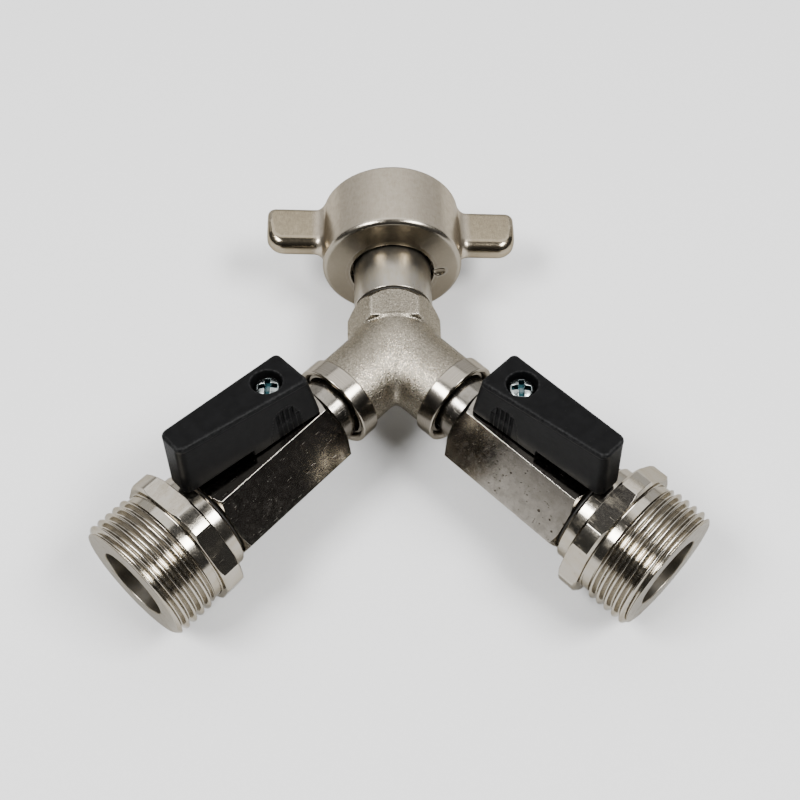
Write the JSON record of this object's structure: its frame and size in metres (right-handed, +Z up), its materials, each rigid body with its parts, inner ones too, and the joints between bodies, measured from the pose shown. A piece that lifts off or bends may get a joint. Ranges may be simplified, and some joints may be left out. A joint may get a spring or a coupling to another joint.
{
  "type": "line splitter with ball valves",
  "caption": "Y-shaped drinks line splitter: a wing nut inlet and a cast Y body whose branches carry lever ball valves with threaded male outlets.",
  "frame": {"origin": "centre of the inlet washer's sealing face, on the wing nut's axis, where the nut's thread begins", "axes": "+Y out of the inlet along the wing nut's axis, +Z up in the direction of the right valve's stem, +X to the right outlet's side; the three port axes lie in the plane z = 0"},
  "size_m": [0.1196, 0.1019, 0.0403],
  "materials": {
    "cast_nickel": "nickel plated brass casting, bead blasted",
    "satin_nickel": "nickel plated hot pressed brass, satin",
    "turned_nickel": "nickel plated turned brass, bright",
    "polished_nickel": "nickel plated hexagon bar, bright, scratched",
    "bare_brass": "turned",
    "chromed_ball": "chrome plated, polished",
    "ptfe": "satin",
    "rubber": "matte",
    "black_nylon": "moulded, fine texture",
    "zinc_steel": "bright zinc plated"
  },
  "bodies": {
    "root": {"y_body": "cast_nickel", "tailpiece": "turned_nickel", "tail_seal": "rubber", "left_valve_body": "polished_nickel", "left_inner_seat": "ptfe", "left_outer_seat": "ptfe", "left_seat_retainer": "bare_brass", "left_stem_washer": "ptfe", "left_outlet_seal": "rubber", "left_outlet_adapter": "turned_nickel", "right_valve_body": "polished_nickel", "right_inner_seat": "ptfe", "right_outer_seat": "ptfe", "right_seat_retainer": "bare_brass", "right_stem_washer": "ptfe", "right_outlet_seal": "rubber", "right_outlet_adapter": "turned_nickel"},
    "inlet_washer": {"inlet_washer": "rubber"},
    "wing_nut": {"wing_nut": "satin_nickel"},
    "left_lever": {"left_lever": "black_nylon", "left_lever_screw": "zinc_steel", "left_stem": "bare_brass", "left_stem_o_rings": "rubber", "left_ball": "chromed_ball"},
    "right_lever": {"right_lever": "black_nylon", "right_lever_screw": "zinc_steel", "right_stem": "bare_brass", "right_stem_o_rings": "rubber", "right_ball": "chromed_ball"}
  },
  "joints": [
    {"name": "nut_slide", "type": "slide", "parent": "root", "child": "inlet_washer", "axis": [0, -1, 0], "range_m": [0, 0.002]},
    {"name": "nut_spin", "type": "hinge", "parent": "inlet_washer", "child": "wing_nut", "pos_m": [0, 0, 0], "axis": [0, 1, 0], "continuous": true},
    {"name": "left_lever_turn", "type": "hinge", "parent": "root", "child": "left_lever", "pos_m": [-0.0232, -0.05495, 0], "axis": [0.0758, -0.072, -0.9945], "range_deg": [-5, 85]},
    {"name": "right_lever_turn", "type": "hinge", "parent": "root", "child": "right_lever", "pos_m": [0.0232, -0.05495, 0], "axis": [0, 0, -1], "range_deg": [0, 90]}
  ]
}
